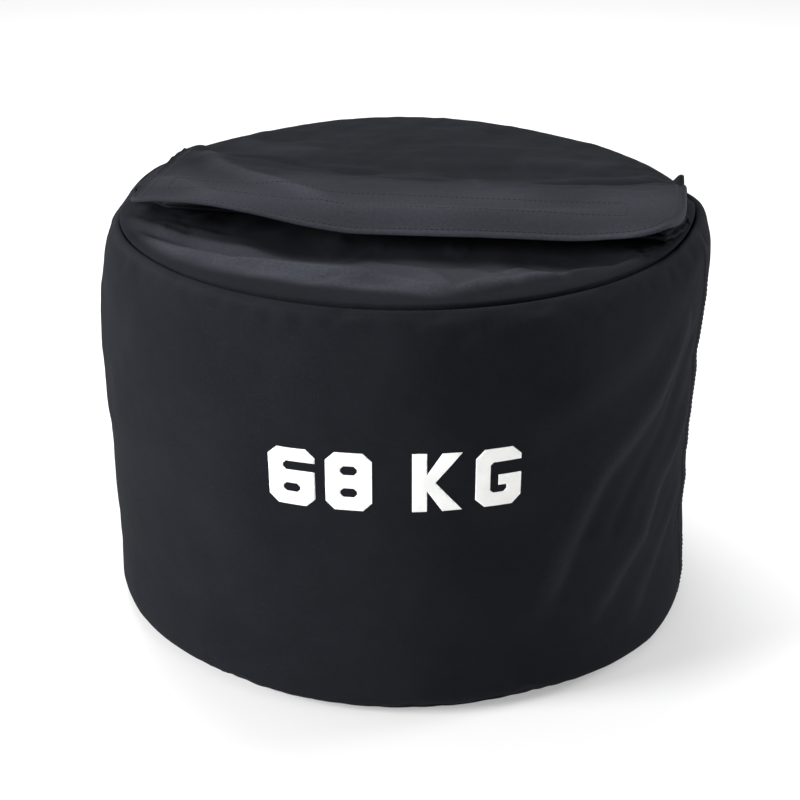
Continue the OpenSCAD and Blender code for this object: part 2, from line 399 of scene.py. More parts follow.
def nylon(name, dark, light, pitch=0.0009, rough=0.78, sheen=0.004, by_cloth=True, reads_wear_and_highlight=True):
    """Coated nylon: woven threads with painted shade in their gaps, a mottled dye, fine lint, and paler
    places from wear and from painted highlight.
    """
    s = Shader(name, rough, sheen, 0.45, 0.035, 1.3)
    where = s.place(by_cloth)
    threads = weave(s, where, pitch)
    cloud = s.noise(where, 9.0, 4.0, 0.6)
    grain = s.noise(where, 420.0, 2.0, 0.6)
    lint = s.ramp(s.noise(where, 150.0, 3.0, 0.7, (1.0, 2.2, 1.0)), 0.0, 1.0, 0.60, 0.80)
    mixed = s.math("ADD", s.math("MULTIPLY", cloud, 0.75), s.math("MULTIPLY", grain, 0.25))
    tone = s.ramp(mixed, 0, 1, 0.3, 0.7)
    dyed = s.mix(tone, dark, light)
    # Painted shade: the gaps between the threads are painted darker.
    gap_shade = s.ramp(threads, 0.55, 1.0, 0.0, 0.6)
    dyed = s.mix(gap_shade, tuple(0.45 * c for c in dark), dyed)
    # Lint, and each piece's stored map of wear and painted highlight, mix the cloth towards a pale colour.
    pale = tuple(min(1.0, 4.0 * c + 0.004) for c in light)
    wear_and_highlight = s.math("MULTIPLY", lint, 0.09)
    if reads_wear_and_highlight:
        wear_and_highlight_map = s.node("ShaderNodeAttribute", attribute_name="wear_and_highlight").outputs["Fac"]
        wear_and_highlight = s.math("ADD", wear_and_highlight, s.math("MULTIPLY", wear_and_highlight_map, s.ramp(grain, 0.58, 0.82, 0.35, 0.65)))
    s.set(base_color=s.mix(s.math("MINIMUM", wear_and_highlight, 0.6), dyed, pale))
    s.set(roughness=s.ramp(cloud, rough - 0.08, rough + 0.10, 0.3, 0.7))
    s.bump(s.noise(where, 55.0, 3.0, 0.5), 0.16, 0.0010)
    s.bump(threads, 0.42, 0.00022)
    return s.made


def tape_finish(name, dark, light, pitch, hooked):
    """Hook or loop tape: the ground weave under its hooks, or a felt of loops."""
    s = Shader(name, 0.5 if hooked else 0.95, 0.02 if hooked else 0.10, 0.6, 0.3, 1.25)
    where = s.place()
    ground = weave(s, where, pitch)
    felt = s.noise(where, 900.0 if hooked else 620.0, 5.0, 0.75)
    s.set(base_color=s.mix(s.ramp(felt, 0, 1, 0.35, 0.7), dark, light))
    s.bump(felt, 0.5 if not hooked else 0.15, 0.0006)
    s.bump(ground, 0.5, 0.0003)
    return s.made


def thread_finish(name, dark, light):
    """Twisted sewing thread."""
    s = Shader(name, 0.6, 0.03, 0.4, 0.3, 1.25)
    where = s.place(False)
    inputs = {"Vector": where, "Scale": 900.0, "Distortion": 1.5}
    twist = s.node("ShaderNodeTexWave", inputs, bands_direction="DIAGONAL")
    s.set(base_color=s.mix(twist.outputs["Fac"], dark, light))
    s.bump(twist.outputs["Fac"], 0.4, 0.0001)
    return s.made


def ink_finish():
    """Screen-printed ink: chalky white, thin over the weave, with pinholes and hairline cracks."""
    s = Shader("print_ink", 0.62, 0.0, 0.5, 0.35)
    where = s.place()
    threads = weave(s, where, 0.0009)
    cloud = s.noise(where, 40.0, 3.0, 0.6)
    pits = s.ramp(s.noise(where, 900.0, 2.0, 0.6), 0.0, 1.0, 0.66, 0.74)
    cells = s.node("ShaderNodeTexVoronoi", {"Vector": where, "Scale": 170.0}, feature="DISTANCE_TO_EDGE")
    cracks = s.ramp(cells.outputs["Distance"], 1.0, 0.0, 0.0, 0.030)
    crack = s.math("MULTIPLY", cracks, s.ramp(cloud, 0.0, 1.0, 0.56, 0.66))
    bare = s.math("MULTIPLY", s.math("MAXIMUM", pits, crack), 0.55)
    white = s.mix(s.ramp(cloud, 0, 1, 0.3, 0.7), (0.80, 0.80, 0.79), (0.92, 0.92, 0.91))
    s.set(base_color=s.mix(bare, white, (0.10, 0.10, 0.11)))
    s.bump(threads, 0.25, 0.00018)
    return s.made


def film_finish():
    """Milky polythene film, cloudy and finely creased."""
    s = Shader("liner_film", 0.32, 0.0, 0.5, 0.5)
    where = s.place(False)
    cloud = s.noise(where, 30.0, 4.0, 0.6)
    s.set(base_color=s.mix(cloud, (0.62, 0.64, 0.66), (0.80, 0.82, 0.84)))
    s.skin.inputs["Transmission Weight"].default_value = 0.35
    s.bump(s.noise(where, 260.0, 4.0, 0.65), 0.35, 0.0008)
    return s.made


def sand_finish():
    """Dry sand: grains of several tones."""
    s = Shader("sand", 0.95, 0.0, 0.5, 0.25)
    where = s.place(False)
    grains = s.node("ShaderNodeTexVoronoi", {"Vector": where, "Scale": 1400.0})
    tone = s.mix(s.noise(where, 20.0), (0.42, 0.31, 0.19), (0.60, 0.48, 0.32))
    s.set(base_color=s.mix(s.ramp(grains.outputs["Color"], 0.0, 0.5), tone, (0.78, 0.70, 0.56)))
    s.bump(grains.outputs["Distance"], 0.6, 0.0005)
    return s.made


def tie_nylon():
    """Natural moulded nylon with faint flow marks."""
    s = Shader("tie_nylon", 0.38, 0.0, 0.5, 0.5)
    where = s.place(False)
    flow = s.noise(where, 120.0, 3.0, 0.5, (1, 1, 4))
    s.set(base_color=s.mix(flow, (0.70, 0.69, 0.64), (0.82, 0.81, 0.77)))
    s.bump(flow, 0.1, 0.0003)
    return s.made


SHELL_DARK = (0.0080, 0.0086, 0.0110)
SHELL_LIGHT = (0.0142, 0.0150, 0.0185)
shell = nylon("shell_nylon", SHELL_DARK, SHELL_LIGHT)
lining_cloth = nylon(
    "flap_lining", (0.0045, 0.0048, 0.0060), (0.0080, 0.0085, 0.0105), 0.0006, 0.65, 0.03, reads_wear_and_highlight=False)
binding = nylon("seam_binding", (0.005, 0.005, 0.006), (0.009, 0.009, 0.010), 0.0012, 0.8, 0.05, False, False)
hooks_finish = tape_finish("hook_tape", (0.004, 0.004, 0.005), (0.009, 0.009, 0.010), 0.0016, True)
loops_finish = tape_finish("loop_tape", (0.0045, 0.0048, 0.0058), (0.0100, 0.0105, 0.0122), 0.0016, False)
thread = thread_finish("thread", (0.014, 0.015, 0.018), (0.026, 0.027, 0.031))
ink = ink_finish()
film = film_finish()
sand = sand_finish()
tie_finish = tie_nylon()


def finish_piece(piece, material, body=None, stands_for=()):
    piece.data.materials.append(material)
    if body:
        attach(piece, body)
    if stands_for:
        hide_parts(*stands_for)
    return piece


def store_wear_and_highlight(piece, amount):
    """Stores how pale each point of a piece is, from 0 to 1: wear, and painted highlight on folds, ridges and
    the flap.
    """
    made = piece.data.attributes.new("wear_and_highlight", "FLOAT", "POINT")
    made.data.foreach_set("value", np.clip(amount, 0, 1).astype(np.float32).ravel())


# ---------------------------------------------------------------- form of the stuffed drum
def rim_r(turn):
    """Radius of the top seam: the mouth's right end pushes it out."""
    return RIM_R + 0.0025 * turn_hump(turn, 92, 12) - 0.0048 * turn_hump(turn, -85, 16)


def rim_z(turn):
    """Height of the top seam, which waves a little as the sand lies."""
    wave = 0.0012 * np.cos(np.radians(turn + 70)) + 0.0040 * turn_hump(turn, 93, 10)
    left_low = 0.0034 * turn_hump(turn, -90, 17) + 0.0088 * turn_hump(turn, -133, 17)
    return SEAM_Z + wave - left_low - 0.0074 * turn_hump(turn, 140, 26)


def top_z(x, y):
    """Height of the filled top: nearly level, rounded down to the seam all round."""
    turn = turn_of(x, y)
    reach = np.hypot(x, y)
    share = np.clip((reach - CROWN_R) / (rim_r(turn) - CROWN_R), 0, 1)
    low = rim_z(turn)
    sunk = 0.0012 * (turn_hump(turn, 155, 20) + 0.7 * turn_hump(turn, -145, 16))
    sunk = sunk * smooth((reach - 0.11) / 0.06)
    return low + (TOP_Z + 0.0006 - sunk - low) * np.sqrt(1 - share**2)


# Folds of the wall: turn in degrees and height of their points, how far they stand out, and their width
WALL_FOLDS = [
    ([(73, 0.262), (64, 0.226), (58.5, 0.203), (51.5, 0.187),
      (45, 0.169), (41, 0.147), (36, 0.111), (31, 0.060)], 0.0036, 0.0085),
    ([(78, 0.245), (70, 0.212), (64, 0.180), (57, 0.158), (50, 0.128), (46, 0.095)], -0.0024, 0.0095),
    ([(80, 0.190), (70.3, 0.151), (62.2, 0.129), (57, 0.100), (50, 0.078), (42, 0.045)], 0.0028, 0.0080),
    ([(77, 0.120), (69, 0.090), (60, 0.062), (54, 0.034)], 0.0018, 0.0075),
    ([(60, 0.262), (50, 0.240), (39, 0.222), (26, 0.200)], 0.0012, 0.0150),
    ([(16, 0.252), (10, 0.218), (4, 0.190)], -0.0012, 0.0180),
    ([(-44, 0.268), (-52, 0.236), (-58, 0.196), (-61, 0.150)], 0.0010, 0.0120),
    ([(-76, 0.262), (-70, 0.222), (-66, 0.180), (-64, 0.140)], 0.0014, 0.0100),
    ([(-86, 0.268), (-94, 0.226), (-104, 0.178), (-118, 0.120)], 0.0030, 0.0095),
    ([(-98, 0.250), (-108, 0.206), (-122, 0.158)], -0.0018, 0.0100),
    ([(90, 0.262), (101, 0.218), (112, 0.172), (121, 0.112), (128, 0.056)], 0.0032, 0.0090),
    ([(97, 0.252), (110, 0.202), (124, 0.150)], -0.0020, 0.0100),
    ([(150, 0.262), (158, 0.214), (170, 0.166)], 0.0016, 0.0120),
    ([(-172, 0.150), (-160, 0.096), (-152, 0.044)], 0.0018, 0.0100),
    ([(-140, 0.262), (-146, 0.210), (-158, 0.166)], 0.0014, 0.0120),
    ([(140, 0.110), (150, 0.066), (162, 0.032)], 0.0016, 0.0090),
]


# How far the wall's foot stands out or in: the load has settled towards the two front corners
FOOT_TURN = (-180, -95, -76, -58, -36, -10, 12, 26, 38, 50, 62, 76, 95, 180)
FOOT_OUT = (
    0.0, 0.0, 0.0020, 0.0012, -0.0026, -0.0032, -0.0050, -0.0050, -0.0014, 0.0022, 0.0040, 0.0024, 0.0, 0.0)


def wall_outline(rows):
    """Radius and height of the wall's rows, from its tuck under the base seam to its tuck at the rim."""
    a = np.radians(np.linspace(-90, 0, 14))
    heel = np.stack([HEEL_IN_R + (HEEL_R - HEEL_IN_R) * np.cos(a), HEEL_H + HEEL_H * np.sin(a)], 1)
    t = np.linspace(0.06, 1, 16)
    rise = np.stack([HEEL_R + (BELLY_R - HEEL_R) * smooth(t), HEEL_H + (BELLY_Z - HEEL_H) * t], 1)
    a = np.radians(np.linspace(8, 90, 24))
    turn_in = np.stack([RIM_R + (BELLY_R - RIM_R) * np.cos(a), BELLY_Z + (SEAM_Z - BELLY_Z) * np.sin(a)], 1)
    a = np.radians(np.linspace(30, 90, 4))
    tuck = np.stack([RIM_R - 0.0020 * np.sin(a), SEAM_Z - 0.0034 * (1 - np.cos(a))], 1)
    tuck = np.concatenate([tuck, [[RIM_R - 0.0018, SEAM_Z - 0.0120]]])
    under = np.array([[BASE_R + 0.0004, 0.0115], [BASE_R + 0.0003, 0.0012]])
    share = np.linspace(0, 1, rows)
    line = np.concatenate([under, heel, rise, turn_in, tuck])
    return along(line, rows, share - 0.032 * np.sin(2 * np.pi * share))


def settled_wall(rows, cols):
    """Turn, radius and height of the wall's points where the sand has settled, and their height before."""
    line = wall_outline(rows)
    turn = np.linspace(-180, 180, cols, endpoint=False)[None, :] + SEAM_TURN
    turn = np.repeat((turn + 180) % 360 - 180, rows, 0)
    r = np.repeat(line[:, :1], cols, 1)
    z = np.repeat(line[:, 1:], cols, 1)
    high = smooth((z - 0.2) / (SEAM_Z - 0.2))
    # It leans out to the left halfway up and to the right under the rim, as the sand has settled
    lean = 0.0027 * smooth(z / 0.1) - 0.0040 * smooth((z - 0.2) / 0.08)
    r = r - np.sin(np.radians(turn - 7)) * lean * (1 - 0.6 * smooth((z - 0.275) / 0.02))
    r = r + (rim_r(turn) - RIM_R) * high + 0.0015 * turn_hump(turn, 92, 11) * hump(z, 0.294, 0.010)
    foot = np.interp(turn, FOOT_TURN, FOOT_OUT) * (1 - smooth((z - 0.006) / 0.075))
    r = r + foot * smooth((r - BASE_R - 0.0012) / 0.010)
    return turn, r, z + (rim_z(turn) - SEAM_Z) * high, z


def wall_crest(turn, z):
    """How far the wall's folds stand out. The wall closes on itself, so a fold may pass its ends."""
    arc_x = np.radians(turn) * HEEL_R
    crest = np.zeros_like(z)
    for line_points, height, width in WALL_FOLDS:
        flat = [(math.radians(a) * HEEL_R, b) for a, b in line_points]
        for shift in (-2 * math.pi * HEEL_R, 0.0, 2 * math.pi * HEEL_R):
            crest = crest + height * fold(arc_x + shift, z, flat, width)
    return crest


def wall_unevenness(turn, up):
    """Broad to fine unevenness of the filled wall. up runs from 0 to 1."""
    u = (turn + 180) / 360
    broad = 0.0016 * speckle(u, up, 16, 4, 11, True) + 0.0008 * speckle(u, up, 38, 9, 12, True)
    return broad + 0.00030 * speckle(u, up, 110, 26, 13, True)


def wall_puckers(turn, z, low_fade):
    """Puckers where the two round seams gather the wall."""
    near_rim = np.exp(-((SEAM_Z - z) / 0.016)) * smooth((SEAM_Z - z + 0.004) / 0.008)
    near_base = np.exp(-(z / 0.018)) * low_fade
    gather = ring_speckle(turn, 150, 14) + 0.7 * ring_speckle(turn, 88, 15)
    return 0.00035 * gather * near_rim + 0.0004 * ring_speckle(turn, 104, 16) * near_base


def wall_points(rows, cols):
    """The wall's outer surface, and how pale it is: painted highlight on its fold crests, and paler lines
    along the seams.
    """
    turn, r, z, even_z = settled_wall(rows, cols)
    low_fade = smooth((even_z - 0.004) / 0.03)
    free = low_fade * (1 - smooth((even_z - SEAM_Z + 0.012) / 0.012))
    crest = wall_crest(turn, z) * free
    r = r + 1.15 * crest + free * wall_unevenness(turn, even_z / SEAM_Z) + wall_puckers(turn, z, low_fade)
    # The upright seam is folded over itself, with the lap to its left
    off = np.radians((turn - SEAM_TURN + 180) % 360 - 180) * HEEL_R
    lap = smooth((off + 0.0065) / 0.0022) * (1 - smooth((off - 0.0052) / 0.0012))
    pull = hump(off, 0.0, 0.020) * speckle(turn * 0 + 0.5, even_z / SEAM_Z, 1, 22, 17)
    r = r + free * (0.0013 * lap - 0.0011 * hump(off, 0.0068, 0.0020) + 0.0008 * pull)
    # The fold crests are painted paler as painted highlight, most at the front right; the lap and the bands
    # by both round seams are paler too.
    wear_and_highlight = np.maximum(crest, 0) * (20 + 42 * turn_hump(turn, 52, 34)) + 0.08 * lap
    wear_and_highlight = wear_and_highlight + 0.08 * np.exp(-np.abs(SEAM_Z - 0.003 - z) / 0.0025)
    wear_and_highlight = wear_and_highlight + 0.10 * np.exp(-np.abs(z - 0.007) / 0.006)
    return around(turn, r, z), wear_and_highlight


def wall_place(rows, cols):
    """Threads run round the wall and up it; one more column closes the turn."""
    line = wall_outline(rows)
    up = np.concatenate([[0], np.cumsum(np.hypot(*np.diff(line, axis=0).T))])
    across = np.linspace(0, 2 * math.pi * HEEL_R, cols + 1)
    return np.stack(np.broadcast_arrays(across[None, :], up[:, None]), -1)


WALL_ROWS, WALL_COLS = 112, 428


def make_wall():
    coarse_rows, coarse_cols = 46, 200
    rough = wall_points(coarse_rows, coarse_cols)[0]
    hold = np.zeros((coarse_rows, coarse_cols))
    hold[:3] = 1.0
    hold[-3:] = 1.0
    moved = settle(rough, hold, 1.6, 0.012, 0.0020, wrap=True)
    points, wear_and_highlight = wall_points(WALL_ROWS, WALL_COLS)
    points = points + stretched(moved, WALL_ROWS, WALL_COLS, True)
    piece = grid_piece("side_wall", points, wall_place(WALL_ROWS, WALL_COLS), wrap=True)
    store_wear_and_highlight(piece, wear_and_highlight)
    thicken(piece, CLOTH_T)
    finish_piece(piece, shell, "bag", ["side_panel"])
    return points


wall_grid = make_wall()


# ---------------------------------------------------------------- base
def make_base():
    """The round base: flat on the floor, puckered where it turns up into its seam."""
    rings, cols = 46, 300
    share = 1 - (1 - np.linspace(0.004, 1, rings)) ** 1.35
    r = np.repeat((share * (BASE_R - 0.0004))[:, None], cols, 1)
    turn = np.repeat(np.linspace(-180, 180, cols, endpoint=False)[None], rings, 0)
    z = 0.0003 + 0.0035 * smooth((r - BASE_R + 0.0042) / 0.0042)
    z = z + 0.0005 * np.abs(speckle((turn + 180) / 360, r / BASE_R, 60, 6, 21, True)) * smooth(r / 0.02)
    z[-1] += 0.0080
    r[-1] = BASE_R - 0.0008
    points = around(turn, r, z)
    closed = np.concatenate([points, points[:, :1]], 1)
    piece = grid_piece("base_cloth", points, closed[..., :2], wrap=True)
    store_wear_and_highlight(piece, 0.35 * np.ones(points.shape[:2]))
    thicken(piece, CLOTH_T)
    finish_piece(piece, shell, "bag", ["base_panel"])


make_base()


# ---------------------------------------------------------------- top panels
def rim_line(start, end, count):
    """Plan of the rim between two turns, just inside the wall's roll."""
    turn = np.linspace(start, end, count)
    return around(turn, rim_r(turn) - 0.0010, 0.0)[:, :2]


def tuck(points):
    """Turns a panel's last rows down into the rim's seam and its binding."""
    for k, (drop, inward) in enumerate(((0.0115, 0.0024), (0.0036, 0.0018), (0.0007, 0.0002))):
        row = points[-1 - k]
        size = np.linalg.norm(row[:, :2], axis=1, keepdims=True)
        row[:, :2] *= 1 - inward / size
        row[:, 2] -= drop


def seam_gathers(x, y, height, reach, seed):
    """Gathers that run in from the round seam."""
    inward = to_rim(x, y)
    return height * np.exp(-inward / reach) * smooth(inward / 0.004) * ring_speckle(turn_of(x, y), 130, seed)


def bend_with_flap(piece):
    """Bakes the piece's placement into its points."""
    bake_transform(piece)


FRONT_RIDGE = [
    (-0.172, -0.098), (-0.140, -0.128), (-0.095, -0.151), (-0.036, -0.158), (0.002, -0.162), (0.040, -0.178),
    (0.056, -0.183), (0.080, -0.166), (0.104, -0.148), (0.125, -0.146), (0.156, -0.118)]
FRONT_FOLDS = [
    (FRONT_RIDGE, 0.0030, 0.0085),
    ([(-0.190, -0.066), (-0.150, -0.092), (-0.110, -0.108), (-0.060, -0.122)], 0.0022, 0.0060),
    ([(-0.190, -0.060), (-0.150, -0.070), (-0.100, -0.088)], -0.0020, 0.0060),
    ([(-0.176, -0.090), (-0.130, -0.113), (-0.092, -0.134), (-0.050, -0.140)], -0.0016, 0.0060),
    ([(-0.020, -0.118), (0.030, -0.140), (0.056, -0.180)], 0.0016, 0.0070),
    ([(0.056, -0.183), (0.084, -0.140), (0.098, -0.118)], 0.0016, 0.0060),
    ([(0.070, -0.128), (0.088, -0.150), (0.094, -0.172)], -0.0014, 0.0060),
    ([(0.120, -0.146), (0.140, -0.122), (0.150, -0.104)], 0.0018, 0.0050),
    ([(0.104, -0.120), (0.118, -0.138), (0.122, -0.160)], -0.0014, 0.0050),
    ([(0.188, -0.062), (0.160, -0.090), (0.130, -0.106)], 0.0018, 0.0055),
]


def front_z(x, y):
    """Height of the front panel: low under the flap's edge, then a ridge, then down to the seam."""
    z = top_z(x, y)
    inner = smooth((to_rim(x, y) - 0.004) / 0.020)
    behind = smooth((y + 0.190 - 0.028 * (x / 0.2) ** 2) / 0.080)
    ends = 0.75 * smooth((-x - 0.04) / 0.11) + 0.6 * smooth((x - 0.13) / 0.05)
    z = z - 0.0118 * inner * behind * hump(y, -0.101, 0.034) * (1 - ends)
    z = z - 0.0016 * smooth((y + 0.075) / 0.02) * inner
    for line_points, height, width in FRONT_FOLDS:
        z = z + height * inner * fold(x, y, line_points, width)
    z = z + inner * (0.0012 * top_speckle(x, y, 7, 9, 31) + 0.0005 * top_speckle(x, y, 22, 26, 32))
    # Crumpled at the mouth's right end
    crumpled = smooth((x - 0.158) / 0.014) * smooth((y + 0.112) / 0.016) * smooth((-0.038 - y) / 0.014)
    creases = 0.0024 * top_speckle(x, y, 52, 40, 34) + 0.0012 * top_speckle(x, y, 90, 90, 35)
    z = z + smooth((to_rim(x, y) - 0.002) / 0.007) * crumpled * (creases - 0.0022)
    return z + seam_gathers(x, y, 0.0003, 0.016, 33)


def panel_points(near, far, rows, bias, height):
    plan = loft(near, far, rows, bias)
    z = height(plan[..., 0], plan[..., 1])
    return np.concatenate([plan, z[..., None]], -1)


def front_outline(count):
    """The front panel's slit edge and its rim edge."""
    cut = math.degrees(math.acos(-SLIT_FRONT_Y / RIM_R))
    rim = rim_line(-cut, cut, count)
    return np.stack([np.linspace(rim[0, 0], rim[-1, 0], count), np.full(count, SLIT_FRONT_Y)], 1), rim


def front_painted_highlight(x, y, from_rim, raised):
    """Painted highlight on the ridge between the seam and the flap's shadow, most at the left, and on the
    panel's raised folds.
    """
    to_left = smooth((-x - 0.04) / 0.11)
    from_seam = from_rim - 0.014 + 0.008 * hump(x, 0.048, 0.028) + 0.010 * to_left
    painted_highlight = 0.60 * smooth(from_seam / 0.011) * smooth((-0.108 + 0.045 * to_left - y) / 0.036)
    painted_highlight = painted_highlight * (1 - 0.30 * smooth((x + 0.06) / 0.16)) * (1 + 0.3 * top_speckle(x, y, 14, 20, 37))
    return painted_highlight + 35 * np.maximum(raised, 0) * smooth((from_rim - 0.008) / 0.012)


def make_front():
    rows, cols = 84, 300
    coarse = panel_points(*front_outline(120), 42, 1.4, front_z)
    hold = np.zeros(coarse.shape[:2])
    hold[-2:] = 1.0
    hold[:2] = 1.0
    hold[:, :2] = 1.0
    hold[:, -2:] = 1.0
    moved = settle(coarse, hold, 0.8, 0.008, 0.0014)
    points = panel_points(*front_outline(cols), rows, 1.4, front_z)
    place = points[..., :2].copy()
    raised = points[..., 2] - top_z(points[..., 0], points[..., 1])
    calm = smooth((to_rim(points[..., 0], points[..., 1]) - 0.010) / 0.025)
    points = points + stretched(moved, rows, cols) * calm[..., None]
    tuck(points)
    piece = grid_piece("top_front", points[::-1], place[::-1])
    x, y = points[..., 0], points[..., 1]
    # The front panel's paleness is painted highlight on its ridge and folds.
    store_wear_and_highlight(piece, front_painted_highlight(x, y, to_rim(x, y), raised)[::-1])
    thicken(piece, CLOTH_T)
    finish_piece(piece, shell, "bag", ["top_front_panel"])


COVER_LEFT = -118.0
COVER_RIGHT = 106.5
UNDER_BACK_Y = 0.112


def under_z(x, y):
    z = top_z(x, y) - 0.0022 * smooth((y - 0.012) / 0.02) - 0.0003
    return z + 0.0006 * top_speckle(x, y, 14, 14, 36)


def make_middle():
    """The strip behind the slit. It runs on under the cover, which is sewn down on it."""
    rows, cols = 46, 220
    y = np.linspace(SLIT_BACK_Y, UNDER_BACK_Y, rows)
    turn = np.degrees(np.arctan2(np.sqrt(RIM_R**2 - y**2), -y))[:, None]
    share = np.linspace(-1, 1, cols)[None]
    share = np.sign(share) * (1 - (1 - np.abs(share)) ** 1.4)
    x = share * np.sqrt((rim_r(turn * np.sign(share)) - 0.0010) ** 2 - y[:, None] ** 2)
    y = np.repeat(y[:, None], cols, 1)
    points = np.stack([x, y, under_z(x, y)], -1)
    for column in (0, -1):
        points[:, column, 0] *= 1 - 0.0016 / RIM_R
        points[:, column, 2] -= 0.0030
    piece = grid_piece("top_middle", points, points[..., :2])
    store_wear_and_highlight(piece, np.full(points.shape[:2], 0.08))
    thicken(piece, CLOTH_T)
    finish_piece(piece, shell, "bag", ["top_middle_panel"])


# ---------------------------------------------------------------- cover: the back of the top and its flap
COVER_FOLDS = [
    ([(-0.030, -0.080), (-0.062, -0.050), (-0.095, -0.025), (-0.131, 0.008), (-0.166, 0.078)],
     0.0030, 0.0090),
    ([(-0.045, -0.073), (0.020, -0.070), (0.100, -0.067), (0.158, -0.060)], 0.0010, 0.0050),
    ([(-0.172, 0.084), (-0.158, 0.073), (-0.126, 0.052), (-0.082, 0.050), (-0.043, 0.037), (-0.006, 0.030)],
     -0.0022, 0.0050),
    ([(-0.060, 0.014), (-0.021, 0.008), (0.018, 0.002), (0.050, 0.004)], -0.0012, 0.0038),
    ([(-0.030, 0.027), (0.004, 0.020), (0.030, 0.022)], 0.0010, 0.0040),
    ([(0.085, 0.008), (0.110, 0.010), (0.151, 0.020), (0.192, 0.044)], -0.0026, 0.0046),
    ([(0.110, 0.026), (0.150, 0.036), (0.186, 0.058)], 0.0014, 0.0060),
    ([(0.058, 0.030), (0.050, 0.004), (0.060, -0.026)], 0.0009, 0.0050),
    ([(-0.168, -0.020), (-0.140, -0.050), (-0.110, -0.088)], 0.0012, 0.0080),
    ([(-0.150, 0.110), (-0.110, 0.092), (-0.060, 0.082)], 0.0014, 0.0110),
    ([(0.160, 0.090), (0.120, 0.074), (0.070, 0.070)], 0.0012, 0.0110),
]


def cover_body(x, y):
    """Height of the cover's upper side without its folds. Its left front corner stands up."""
    base = top_z(x, y) + 0.0010
    rise = smooth((HINGE_Y + 0.036 - y) / 0.080)
    droop = smooth((LIP_FRONT_Y + 0.004 - y) / 0.026)
    middle = base * (1 - rise) + (FLAP_TOP_Z + 0.0004) * rise - 0.0086 * droop
    left_rise = base + 0.0205 * np.clip((0.092 - y) / 0.186, 0, 1) ** 0.9
    right_rise = base + 0.0155 * smooth((0.058 - y) / 0.080)
    to_left = smooth((-x - 0.015) / 0.125)
    to_right = np.clip((x - 0.118) / 0.080, 0, 1) ** 1.5
    return middle * (1 - to_left - to_right) + left_rise * to_left + right_rise * to_right


def cover_z(x, y):
    """Height of the cover's upper side."""
    z = cover_body(x, y)
    inner = smooth((to_rim(x, y) - 0.003) / 0.012)
    for line_points, height, width in COVER_FOLDS:
        z = z + 1.35 * height * inner * fold(x, y, line_points, width)
    back = smooth((y + 0.01) / 0.05) * smooth((to_rim(x, y) - 0.006) / 0.03)
    z = z + back * (0.0026 * top_speckle(x, y, 6, 7, 41) + 0.0015 * top_speckle(x, y, 17, 20, 42))
    fine = 0.00045 * top_speckle(x, y, 46, 50, 43) + 0.0008 * top_speckle(x, y, 8, 36, 46)
    z = z + inner * fine * (0.3 + 0.7 * smooth((y + 0.04) / 0.03))
    z = z + seam_gathers(x, y, 0.0004, 0.014, 44) * smooth(y / 0.08)
    # The pointed tuck at the right end, and the pucker at the left one
    z = z + 0.0085 * hump(np.hypot(x - 0.1965, (y - 0.047) * 0.8), 0, 0.0050)
    return z + 0.0034 * hump(np.hypot((x + 0.167) * 0.8, y - 0.084), 0, 0.0080)


def cover_front_line(count):
    """Plan of the cover's free edge, from where it leaves the rim at the left round to the right."""
    left = rim_line(COVER_LEFT, COVER_LEFT, 1)[0]
    right = rim_line(COVER_RIGHT, COVER_RIGHT, 1)[0]
    y = FLAP_FRONT_Y
    line = [tuple(left), (-0.1785, 0.066), (-0.1765, 0.020), (-0.1755, -0.030)]
    line += arc(-0.1670, y + 0.008, 0.0080, 180, 270)
    line += [(-0.10, y - 0.0008), (-0.02, y - 0.0016), (0.06, y + 0.0004)]
    line += [(0.160 + 0.0385 * a, y + 0.054 * (1 + b)) for a, b in arc(0, 0, 1, 270, 360, 12)]
    line += [(0.1988, -0.020), (0.1992, 0.010), (0.1985, 0.038), tuple(right)]
    return along(line, count)


def cover_grid_of(rows, cols):
    back = rim_line(COVER_LEFT, COVER_RIGHT - 360, cols)
    return panel_points(cover_front_line(cols), back, rows, 1.35, cover_z)


def cover_painted_highlight(x, y, from_edge):
    """Painted highlight on the flap's front part, on the crests of its folds and along the edge of its hem.
    """
    crest = sum(height * fold(x, y, line, width) for line, height, width in COVER_FOLDS)
    patchy = 1 + 0.35 * top_speckle(x, y, 9, 12, 45)
    darker = 1 - 0.3 * hump(x, -0.13, 0.035) * hump(y, -0.03, 0.03)
    painted_highlight = 0.37 * smooth((0.036 - y) / 0.085) * patchy * darker
    # Painted highlight along the hem's edge, strongest to the right.
    hem = (0.12 + 0.23 * smooth((x + 0.13) / 0.12)) * hump(from_edge, 0.0012, 0.0022)
    return painted_highlight + hem + 70 * np.maximum(crest, 0)


def make_cover():
    rows, cols = 130, 330
    coarse = cover_grid_of(56, 130)
    flap = smooth((0.035 - coarse[..., 1]) / 0.05)
    hold = np.round(np.clip(0.55 * flap, 0, 1), 1)
    hold[:2] = np.maximum(hold[:2], 0.8)
    hold[-2:] = 1.0
    moved = settle(coarse, hold, 0.7, 0.010, 0.0014)
    even = cover_grid_of(rows, cols)
    points = even + stretched(moved, rows, cols)
    # The free edge is a folded hem: thicker, with its last row rounded off
    from_edge = np.hypot(*(points - points[:1])[..., :2].transpose(2, 0, 1))
    points[..., 2] += 0.0011 * hump(from_edge, 0.0024, 0.0024)
    points[0, :, 2] -= 0.0005
    tuck(points)
    piece = grid_piece("cover_cloth", points, even[..., :2])
    # The cover's paleness is painted highlight.
    store_wear_and_highlight(piece, cover_painted_highlight(even[..., 0], even[..., 1], from_edge))
    thicken(piece, 0.0013)
    finish_piece(piece, shell, None, ["top_back_panel", "flap_outer"])
    bend_with_flap(piece)
    return points


make_front()
make_middle()
cover_grid = make_cover()


# ---------------------------------------------------------------- lips and tapes under the flap
TAPE_LOW, TAPE_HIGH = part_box("flap_hook_tape")
STACK_R = RIM_R - 0.006
FRONT_SHARE = 0.96  # share of the cover's lift that the front lip and its tape follow
BACK_SHARE = 0.985


